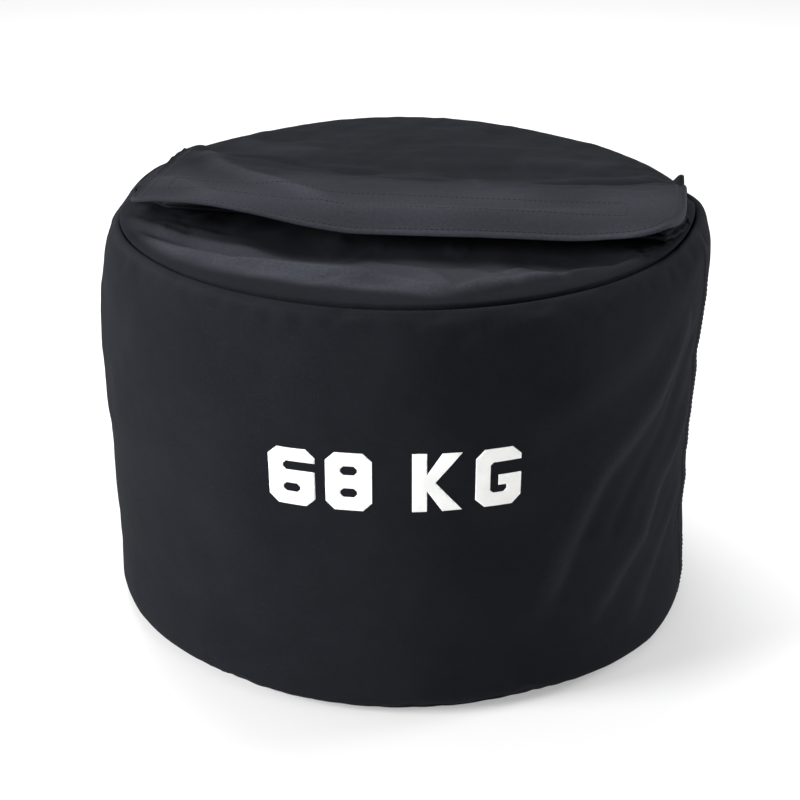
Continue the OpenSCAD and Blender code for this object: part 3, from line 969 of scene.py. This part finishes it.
def stack_lift(x, y):
    """How far the closed mouth's layers bend up with the cover over them."""
    return cover_body(x, np.clip(y, TAPE_LOW.y, TAPE_HIGH.y)) - (FLAP_TOP_Z + 0.0004)


def askew(x):
    """The mouth's layers run back a little towards the left, under the cover's lifted corner."""
    return smooth((-x - 0.02) / 0.11)


def lip_points(rows, cols, root, top, share, seed):
    """A lip: root is its folded section before the flat part, and top the height of its upper side."""
    root_y = root[-1][0]
    flat = [(y, top) for y in np.linspace(root_y - 0.003, LIP_FRONT_Y, 8)]
    line = along(root + flat, rows)
    y = np.repeat(line[:, :1], cols, 1)
    x = np.linspace(-1, 1, cols)[None] * np.sqrt(STACK_R**2 - y**2)
    reach = np.clip((root_y - y) / (root_y - LIP_FRONT_Y), 0, 1)
    x = x * np.where(x < 0, 0.958 - 0.040 * reach, 1.0) + 0.0045 * smooth((x - 0.17) / 0.03)
    y = y + (0.0160 * smooth((-x - 0.154) / 0.022) + 0.0125 * askew(x)) * reach
    z = np.repeat(line[:, 1:], cols, 1)
    flatness = smooth((root_y + 0.001 - y) / 0.006)
    # The root goes down with the filled top, and the flat part up with the cover
    z = z - (TOP_Z + 0.0006 - top_z(x, y)) * (1 - smooth((z - TOP_Z + 0.0018) / 0.0030))
    z = z + stack_lift(x, y) * share * smooth((z - TOP_Z) / 0.004)
    ends = smooth((np.abs(x) - 0.166) / 0.02)
    u = (x + 0.22) / 0.44
    gather = 0.0022 * ends * speckle(u, (y + 0.1) / 0.1, 70, 7, seed)
    z = z + flatness * (gather + 0.00035 * speckle(u, y * 0 + 0.5, 30, 1, seed + 1))
    z = z - 0.0028 * ends * smooth((np.abs(x) - 0.18) / 0.02)
    z = z + 0.00045 * (smooth((reach - 0.76) / 0.025)) * flatness
    z[-1] -= 0.0009
    z[-2] -= 0.0002
    return np.stack([x, y, z], -1)


def make_lip(name, stands_for, root, top, share, seed):
    points = lip_points(34, 250, root, top, share, seed)[::-1]
    piece = grid_piece(name, points, points[..., :2])
    store_wear_and_highlight(piece, np.zeros(points.shape[:2]))
    thicken(piece, HEM_T - 0.0004)
    finish_piece(piece, shell, None, [stands_for])
    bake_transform(piece)
    return points


def lip_roots():
    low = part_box("mouth_front_lip")[1].z
    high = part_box("mouth_back_lip")[1].z
    front = [(-0.0312, TOP_Z - 0.0022), (-0.0316, low - 0.0016), (-0.0334, low - 0.0003)]
    back = [
        (-0.0272, TOP_Z - 0.0022), (-0.0270, TOP_Z + 0.0035),
        (-0.0274, high - 0.0018), (-0.0292, high - 0.0003)]
    return front, low, back, high


front_root, front_top, back_root, back_top = lip_roots()
front_lip_grid = make_lip(
    "front_lip_cloth", "mouth_front_lip", front_root, front_top, FRONT_SHARE, 61)
back_lip_grid = make_lip(
    "back_lip_cloth", "mouth_back_lip", back_root, back_top, BACK_SHARE, 66)


def hook_form():
    """A tape's hook: a bent post with its tip turned over."""
    path = np.array([(0, 0, 0), (0, 0, 0.30), (0.10, 0, 0.62), (0.34, 0, 0.70), (0.46, 0, 0.52)]) * 1e-3
    return path, np.array([0.15, 0.13, 0.12, 0.11, 0.08]) * 1e-3


def loop_form():
    """A tape's loop: a thin arch of filament."""
    a = np.radians(np.linspace(-15, 195, 7))
    path = np.stack([0.62 * np.cos(a), 0.10 * np.sin(2 * a), 0.16 + 0.50 * np.sin(a)], 1) * 1e-3
    return path, np.full(7, 0.085e-3)


def tube_form(path, radii, sides):
    """Rings round a path that lies close to the XZ plane, with their quads."""
    step = unit(np.gradient(path, axis=0))
    side = unit(np.array([0.0, 1.0, 0.0]) - step * step[:, 1:2])
    up = np.cross(step, side)
    a = np.linspace(0, 2 * math.pi, sides, endpoint=False)
    rings = side[:, None] * np.cos(a)[None, :, None] + up[:, None] * np.sin(a)[None, :, None]
    points = path[:, None] + rings * radii[:, None, None]
    n = len(path)
    quads = grid_quads(n, sides, True)[0][:, (0, 3, 2, 1)]
    caps = [list(range(sides)), list(range((n - 1) * sides, n * sides))[::-1]]
    return points.reshape(-1, 3), quads.tolist() + caps


def scatter(name, form, spots, along_dirs, normals, sides=4):
    """One mesh with a copy of a form at every spot, its X along a direction and its Z along a normal."""
    shape, faces = tube_form(*form, sides)
    x = unit(along_dirs - normals * np.sum(along_dirs * normals, 1, keepdims=True))
    axes = np.stack([x, np.cross(normals, x), normals], 1)
    points = spots[:, None] + np.einsum("pk,nkc->npc", shape, axes)
    every = [[v + n * len(shape) for v in face] for n in range(len(spots)) for face in faces]
    mesh = bpy.data.meshes.new(name)
    mesh.from_pydata(points.reshape(-1, 3).tolist(), [], every)
    mesh.polygons.foreach_set("use_smooth", np.ones(len(mesh.polygons), bool))
    mesh.update()
    return link(name, mesh)


def tape_z(x, y, level, share):
    """Height of a tape's pile side. The flap's own tape follows the flap's folds too."""
    folds = np.maximum(cover_z(x, y) - cover_body(x, y), 0.0) if share == 1.0 else 0.0
    return level + stack_lift(x, y) * share + folds


def tape_band(name, level, share, faces_up, seed):
    """The woven band. level is the height of its pile side."""
    rows, cols = 18, 240
    x = np.linspace(TAPE_LOW.x, TAPE_HIGH.x, cols)[None] * np.ones((rows, 1))
    y = np.linspace(TAPE_LOW.y, TAPE_HIGH.y, rows)[:, None] * np.ones((1, cols))
    selvedge = 0.00018 * (hump(y, TAPE_LOW.y + 0.0012, 0.0008) + hump(y, TAPE_HIGH.y - 0.0012, 0.0008))
    y = y + TAPE_ASKEW * askew(x) + 0.00025 * speckle(x / 0.32 + 0.5, y * 0 + 0.5, 30, 1, seed)
    points = np.stack([x, y, tape_z(x, y, level, share) + (selvedge if faces_up else -selvedge)], -1)
    points = points if faces_up else points[::-1]
    band = grid_piece(name, points, points[..., :2])
    thicken(band, 0.0007)
    return band


def tape_pile(name, level, share, faces_up, hooked, seed):
    """Hooks that point either way along the tape, or loops that point anywhere."""
    luck = np.random.default_rng(seed)
    pitch = 0.0021 if hooked else 0.0017
    across = np.arange(TAPE_LOW.x + 0.002, TAPE_HIGH.x - 0.001, pitch)
    x, y = np.meshgrid(across, np.arange(TAPE_LOW.y + 0.003, TAPE_HIGH.y - 0.002, pitch))
    loose = 0.12 if hooked else 0.45
    x = (x + luck.uniform(-loose, loose, x.shape) * pitch).ravel()
    y = (y + luck.uniform(-loose, loose, y.shape) * pitch).ravel() + TAPE_ASKEW * askew(x)
    way = 1.0 if faces_up else -1.0
    spots = np.stack([x, y, tape_z(x, y, level, share) - way * 0.0001], 1)
    if hooked:
        turn = np.where(luck.uniform(0, 1, len(x)) < 0.5, 0.0, math.pi)
    else:
        turn = luck.uniform(0, 2 * math.pi, len(x))
    dirs = np.stack([np.cos(turn), np.sin(turn), 0 * turn], 1)
    normals = np.tile([0.0, 0.0, way], (len(x), 1))
    return scatter(name, hook_form() if hooked else loop_form(), spots, dirs, normals, 4 if hooked else 3)


def make_tape(name, stands_for, share, faces_up, hooked, body, seed):
    low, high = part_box(stands_for)
    level = low.z + PILE_BAND_T if faces_up else high.z - PILE_BAND_T
    finish = hooks_finish if hooked else loops_finish
    band = tape_band(name, level, share, faces_up, seed)
    finish_piece(band, finish, body, [stands_for])
    pile = tape_pile(name + "_pile", level, share, faces_up, hooked, seed)
    finish_piece(pile, finish, body)


def make_tapes():
    make_tape("mouth_loops", "mouth_loop_tape", FRONT_SHARE, True, False, "front_lip", 71)
    make_tape("mouth_hooks", "mouth_hook_tape", BACK_SHARE, False, True, "back_lip", 72)
    make_tape("cover_loops", "cover_loop_tape", BACK_SHARE, True, False, "back_lip", 73)
    make_tape("flap_hooks", "flap_hook_tape", 1.0, False, True, "cover_flap", 74)


make_tapes()


def inset_line(line, distance):
    step = unit(np.gradient(line, axis=0))
    return line + np.stack([-step[:, 1], step[:, 0]], 1) * distance


def make_lining():
    """The flap's underside: a lighter cloth inside the turned edges of the cover."""
    rows, cols = 70, 260
    line = inset_line(cover_front_line(400), 0.0045)
    near = along(line[line[:, 1] < HINGE_Y], cols)
    far = np.stack([np.linspace(near[0, 0], near[-1, 0], cols), np.full(cols, HINGE_Y + 0.004)], 1)
    points = panel_points(near, far, rows, 1.0, lambda x, y: cover_z(x, y) - 0.0024)[::-1]
    piece = grid_piece("flap_lining_cloth", points, points[..., :2])
    store_wear_and_highlight(piece, np.zeros(points.shape[:2]))
    thicken(piece, 0.0009)
    finish_piece(piece, lining_cloth, None, ["flap_lining"])
    bend_with_flap(piece)


make_lining()


# ---------------------------------------------------------------- stitching
def stitch_form():
    rise = [-0.42, -0.02, 0.12, 0.16, 0.12, -0.02, -0.42]
    path = np.stack([np.linspace(-1.35, 1.35, 7), np.zeros(7), rise], 1)
    return path * 1e-3, np.array([0.16, 0.28, 0.33, 0.34, 0.33, 0.28, 0.16]) * 1e-3


def sew(name, surface, lines, aim, pitch=0.0036):
    """Rows of stitches on a surface. aim turns a line's point into the start and direction of a ray."""
    spots, dirs, normals = [], [], []
    for line in lines:
        length = np.linalg.norm(np.diff(np.array(line, float), axis=0), axis=1).sum()
        found = []
        for point in along(line, max(3, int(length / pitch) + 1)):
            hit, normal = surface.ray_cast(*aim(point))[:2]
            if hit is not None:
                found.append((hit, normal))
        for a, b in zip(found[:-1], found[1:]):
            if (b[0] - a[0]).length < 2 * pitch:
                spots.append((a[0] + b[0]) / 2)
                dirs.append(b[0] - a[0])
                normals.append((a[1] + b[1]).normalized())
    piece = scatter(name, stitch_form(), np.array(spots), np.array(dirs), np.array(normals), 5)
    piece.data.materials.append(thread)
    return piece


def from_above(point):
    return Vector((point[0], point[1], 0.4)), Vector((0, 0, -1))


def from_outside(point):
    """point is the distance round the wall and the height."""
    turn = point[0] / HEEL_R
    out = Vector((math.sin(turn), -math.cos(turn), 0))
    return out * 0.3 + Vector((0, 0, point[1])), -out


def box_line(x, y_low, y_high):
    return [(-x, y_low), (x, y_low), (x, y_high), (-x, y_high), (-x, y_low)]


def make_stitches():
    edge = inset_line(cover_front_line(500), 0.0065)
    tape = along(box_line(TAPE_HIGH.x - 0.0025, TAPE_LOW.y + 0.0022, TAPE_HIGH.y - 0.0022), 400)
    tape[:, 1] += TAPE_ASKEW * askew(tape[:, 0])
    bend_with_flap(sew("cover_stitches", surface_of(cover_grid), [edge[12:-12], tape], from_above))
    hem = [(x, LIP_FRONT_Y + 0.010 + 0.0105 * askew(x)) for x in np.linspace(-0.158, 0.176, 60)]
    for body, grid in (("back_lip", back_lip_grid), ("front_lip", front_lip_grid)):
        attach(sew(body + "_stitches", surface_of(grid), [hem], from_above), body)
    base = math.radians(SEAM_TURN) * HEEL_R
    rows = [[(base + off, z) for z in np.linspace(0.010, 0.286, 60)] for off in (-0.0046, 0.0034)]
    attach(sew("side_seam_stitches", surface_of(wall_grid, True), rows, from_outside), "bag")


make_stitches()


# ---------------------------------------------------------------- inside: bindings, liner, tie and sand
def make_binding(name, stands_for, path, at_rim):
    """A tape folded over both allowances of a round seam."""
    turn = np.linspace(-180, 180, 300, endpoint=False)
    line = along(path, 16)
    r = line[:, :1] + 0.00022 * ring_speckle(turn, 90, 81)[None]
    z = line[:, 1:] + 0.00025 * ring_speckle(turn, 70, 82)[None]
    if at_rim:
        r = r + (rim_r(turn) - RIM_R)[None]
        z = z + (rim_z(turn) - SEAM_Z)[None]
    piece = grid_piece(name, around(turn[None], r, z), wrap=True)
    thicken(piece, 0.0006, 0.0)
    finish_piece(piece, binding, "bag", [stands_for])


def make_seam_strip():
    """The inside binding over the wall's upright seam."""
    z = wall_grid[:, 0, 2]
    rows = np.nonzero((z > 0.052) & (z < 0.264) & (np.arange(len(z)) > 12))[0]
    strip = wall_grid[rows][:, range(-4, 5)].copy()
    strip[..., :2] -= unit(strip[..., :2]) * 0.0022
    piece = grid_piece("side_seam_binding", stretched(strip, 120, 20))
    thicken(piece, 0.0007)
    finish_piece(piece, binding, "bag", ["side_seam_strip"])


def filled_top(out, rim, gap):
    """Rings in over the top to the dimple's middle, under the cloth and the neck's tie."""
    rings = []
    for share in np.linspace(0.02, 1, 26):
        r = (rim[:, 0] - 0.0105 - gap) * (1 - share) + 0.042 * share
        x = out[:, 0] * r
        y = out[:, 1] * r + SLIT_Y * smooth(share * 1.3)
        low = np.minimum(np.minimum(front_z(x, y), under_z(x, y)), cover_z(x, y) - 0.0040) - 0.0034 - gap
        dip = smooth((0.074 - np.hypot(x, y - SLIT_Y)) / 0.014)
        z = low * (1 - dip) + np.minimum(low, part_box("liner_tie")[0].z - 0.0050 - gap) * dip
        z = np.minimum(z, 0.2905 + 0.010 * smooth((to_rim(x, y) - 0.006) / 0.014))
        rings.append(np.stack([x, y, z], 1))
    return rings


def filled_form(cols, gap):
    """Rings round the fill: out over the base, up inside the wall, and in over the top."""
    turn = (np.linspace(-180, 180, cols, endpoint=False) + SEAM_TURN + 180) % 360 - 180
    out = around(turn, 1.0, 0.0)[:, :2]
    wall = wall_points(90, cols)[0]
    heights = wall[:, 0, 2]
    foot = BASE_R - 0.0050 - gap
    rings = [np.concatenate([out * r, np.full((cols, 1), 0.0026 + gap)], 1)
             for r in np.linspace(0.0006, 1, 14) ** 0.8 * foot]
    rings.append(np.concatenate([out * foot, np.full((cols, 1), 0.0150)], 1))
    for k in range(14, int(np.argmax(heights))):
        if 0.021 < heights[k] < 0.262:
            ring = wall[k].copy()
            ring[:, :2] -= out * (0.0032 + gap)
            rings.append(ring)
    rim = rim_r(turn)[:, None]
    seam = rim_z(turn)[:, None]
    for inward, down in ((0.0066, 0.0240), (0.0078, 0.0150)):
        rings.append(np.concatenate([out * (rim - inward - gap), seam - down], 1))
    return np.array(rings + filled_top(out, rim, gap)), out


def dented(points, *layers):
    """Points pushed in towards the fill's middle by layers of noise: depth, cells round, cells up, seed."""
    rows, cols = points.shape[:2]
    u, v = np.meshgrid(np.linspace(0, 1, cols, endpoint=False), np.linspace(0, 1, rows))
    depth = np.abs(sum(deep * speckle(u, v, round_cells, up_cells, seed, True)
                       for deep, round_cells, up_cells, seed in layers))
    return points - unit(points - np.array([0, 0, 0.15])) * depth[..., None]


# The liner's neck from its dimple to its open end: radius, height from the tie, and depth of the pleats
NECK_RINGS = (
    (0.0340, -0.0062, 0.02), (0.0240, -0.0052, 0.07), (0.0160, -0.0026, 0.11), (0.0128, 0.0000, 0.10),
    (0.0150, 0.0022, 0.12), (0.0215, 0.0040, 0.14), (0.0280, 0.0052, 0.12), (0.0320, 0.0044, 0.10))


def make_liner():
    """A film bag, crinkled against the sand, whose neck is gathered in pleats, tied and let fall open."""
    cols = 320
    rings, out = filled_form(cols, 0.0008)
    rings = dented(rings, (0.00035, 120, 40, 91), (0.0003, 44, 18, 92))
    a = np.linspace(0, 2 * math.pi, cols, endpoint=False)
    pleat = np.cos(17 * a) + 0.4 * np.cos(9 * a + 1.0)
    neck = []
    for r, rise, depth in NECK_RINGS:
        x = out[:, 0] * r * (1 + depth * pleat)
        y = out[:, 1] * r * (1 + depth * pleat) + SLIT_Y
        cloth = np.minimum(front_z(x, y), under_z(x, y)) - 0.0040
        neck.append(np.stack([x, y, np.minimum(TIE_Z + rise + 0.006 * depth * pleat, cloth)], 1))
    piece = grid_piece("liner_film", np.concatenate([rings, np.array(neck)]), wrap=True)
    thicken(piece, 0.00025)
    finish_piece(piece, film, "bag", ["liner_bag"])


def make_sand():
    cols = 260
    rings = filled_form(cols, 0.0022)[0]
    centre = np.array([0, SLIT_Y, rings[-1][:, 2].mean() - 0.0008])
    inner = [rings[-1] * share + centre * (1 - share) for share in (0.6, 0.25, 0.02)]
    points = dented(np.concatenate([rings, np.array(inner)]), (0.0009, 60, 24, 95))
    piece = grid_piece("sand_body", points, wrap=True)
    edit = bmesh.new()
    edit.from_mesh(piece.data)
    edit.verts.ensure_lookup_table()
    last = (len(points) - 1) * cols
    edit.faces.new([edit.verts[k] for k in reversed(range(cols))])
    edit.faces.new([edit.verts[k] for k in range(last, last + cols)])
    edit.to_mesh(piece.data)
    edit.free()
    finish_piece(piece, sand, "bag", ["sand_fill"])


def tie_rows(path, half_t, half_w, teeth, rounded):
    """Sections with rounded corners along a path. teeth is how far every other one stands out."""
    side = np.cross(unit(np.gradient(path, axis=0)), [0, 0, 1.0])
    n = len(path)
    k = np.arange(n)
    ends = np.ones(n)
    if rounded:
        taper = max(2, n * 0.12)
        ends = np.sin(np.clip(k / taper, 0, 1) * math.pi / 2)
        ends = ends * np.sin(np.clip((n - 1 - k) / taper, 0, 1) * math.pi / 2)
        ends = np.maximum(ends, 0.35)
    corners = np.radians(np.linspace(0, 360, TIE_SIDES, endpoint=False))
    across = np.sign(np.cos(corners)) * np.abs(np.cos(corners)) ** 0.4
    upward = np.sign(np.sin(corners)) * np.abs(np.sin(corners)) ** 0.4
    sideways = side[:, None] * across[None, :, None] * ((half_t + teeth * (k % 2)) * ends)[:, None, None]
    rise = np.array([0, 0, 1.0]) * upward[None, :, None] * (half_w * ends)[:, None, None]
    return path[:, None] + sideways + rise


def make_tie():
    """The cable tie: its band round the neck, its head, and its toothed tail."""
    r = 0.0146
    a = np.radians(np.linspace(6, 366, 120))
    ring = np.stack([r * np.cos(a), SLIT_Y + r * np.sin(a), np.full(120, TIE_Z)], 1)
    tail_x = np.linspace(r + 0.0030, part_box("liner_tie")[1].x, 110)
    tail = np.stack([tail_x, np.full(110, SLIT_Y + 0.0004), np.full(110, TIE_Z + 0.0002)], 1)
    head_x = np.linspace(r - 0.0004, r + 0.0054, 12)
    head = np.stack([head_x, np.full(12, SLIT_Y + 0.0008), np.full(12, TIE_Z)], 1)
    mesh = bmesh.new()
    for rows in (tie_rows(ring, 0.0006, 0.0016, 0.0, False), tie_rows(tail, 0.0005, 0.0015, 0.00022, True),
                 tie_rows(head, 0.0028, 0.0022, 0.0, True)):
        made = [[mesh.verts.new(p) for p in row] for row in rows]
        for first, second in zip(made[:-1], made[1:]):
            for i in range(TIE_SIDES):
                k = (i + 1) % TIE_SIDES
                mesh.faces.new((first[i], first[k], second[k], second[i]))
        mesh.faces.new(made[0][::-1])
        mesh.faces.new(made[-1])
    for face in mesh.faces:
        face.smooth = True
    data = bpy.data.meshes.new("neck_tie")
    mesh.to_mesh(data)
    mesh.free()
    finish_piece(link("neck_tie", data), tie_finish, "bag", ["liner_tie"])


make_binding(
    "top_binding", "top_seam_binding",
    [(RIM_R - 0.0043, 0.2866), (RIM_R - 0.0044, 0.2792), (RIM_R - 0.0034, 0.2784), (RIM_R + 0.0004, 0.2784),
     (RIM_R + 0.0014, 0.2792), (RIM_R + 0.0014, 0.2866)], True)
make_binding(
    "base_binding", "base_seam_binding",
    [(BASE_R - 0.0026, 0.0052), (BASE_R - 0.0026, 0.0124), (BASE_R - 0.0016, 0.0132),
     (BASE_R + 0.0016, 0.0132), (BASE_R + 0.0026, 0.0124), (BASE_R + 0.0026, 0.0052)], False)
make_seam_strip()
make_liner()
make_sand()
make_tie()


# ---------------------------------------------------------------- the print
def cut_small(sheet, low, high, step):
    """Cuts a mesh along upright and level planes, step apart."""
    for axis in (0, 2):
        normal = Vector([float(axis == k) for k in range(3)])
        for at in np.arange(low[axis] + step / 2, high[axis], step):
            everything = sheet.verts[:] + sheet.edges[:] + sheet.faces[:]
            bmesh.ops.bisect_plane(sheet, geom=everything, plane_co=normal * at, plane_no=normal)


def lay_on_wall(sheet, outer, inner):
    """Moves a mesh's outer and inner sides to their distances out from the wall."""
    wall = surface_of(wall_grid, True)
    sheet.normal_update()
    for v in sheet.verts:
        outward = Vector((v.co.x, v.co.y, 0)).normalized()
        outside = sum(face.calc_area() * face.normal.dot(outward) ** 5 for face in v.link_faces) > 0
        hit = wall.ray_cast(outward * 0.3 + Vector((0, 0, v.co.z)), -outward)[0]
        v.co = hit + outward * (outer if outside else inner)


def make_print():
    """The figures, cut into small faces and laid on the wall's folds."""
    sheet = bmesh.new()
    sheet.from_mesh(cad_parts["weight_print"].data)
    bmesh.ops.remove_doubles(sheet, verts=sheet.verts, dist=1e-6)
    cut_small(sheet, *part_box("weight_print"), 0.0020)
    lay_on_wall(sheet, 0.00035, -0.0003)
    layer = sheet.loops.layers.uv.new("cloth")
    for f in sheet.faces:
        f.smooth = True
        for loop in f.loops:
            loop[layer].uv = (math.atan2(loop.vert.co.x, -loop.vert.co.y) * HEEL_R, loop.vert.co.z)
    mesh = bpy.data.meshes.new("weight_figures")
    sheet.to_mesh(mesh)
    sheet.free()
    finish_piece(link("weight_figures", mesh), ink, "bag", ["weight_print"])


make_print()


# ---------------------------------------------------------------- floor and light
def make_stage():
    size = 6.0
    mesh = bpy.data.meshes.new("floor")
    corners = [(size, 0, FLOOR_Z), (0, size, FLOOR_Z), (-size, 0, FLOOR_Z), (0, -size, FLOOR_Z)]
    mesh.from_pydata(corners, [], [(0, 1, 2, 3)])
    floor = link("floor", mesh)
    paint = bpy.data.materials.new("floor")
    paint.use_nodes = True
    inputs = paint.node_tree.nodes["Principled BSDF"].inputs
    inputs["Base Color"].default_value = (0.56, 0.56, 0.56, 1)
    inputs["Roughness"].default_value = 0.9
    inputs["Emission Color"].default_value = (1, 1, 1, 1)
    inputs["Emission Strength"].default_value = 0.32
    mesh.materials.append(paint)
    world = bpy.data.worlds.new("studio")
    bpy.context.scene.world = world
    world.use_nodes = True
    world.node_tree.nodes["Background"].inputs["Color"].default_value = (1.0, 1.0, 1.0, 1)
    world.node_tree.nodes["Background"].inputs["Strength"].default_value = 0.6


def lamp(name, spot, target, size, watts):
    made = bpy.data.objects.new(name, bpy.data.lights.new(name, "AREA"))
    bpy.context.scene.collection.objects.link(made)
    made.data.shape = "DISK"
    made.data.size = size
    made.data.energy = watts
    made.location = spot
    made.rotation_euler = (Vector(target) - Vector(spot)).to_track_quat("-Z", "Y").to_euler()


make_stage()
lamp("key", (-2.05, -1.15, 1.1), (0, 0, 0.15), 1.0, 92)
lamp("above", (-0.3, 0.75, 1.7), (0, 0, 0.25), 1.2, 29)
lamp("right", (1.9, 0.7, 0.8), (0.1, 0, 0.15), 0.7, 26)
bpy.context.scene.view_settings.view_transform = "Standard"
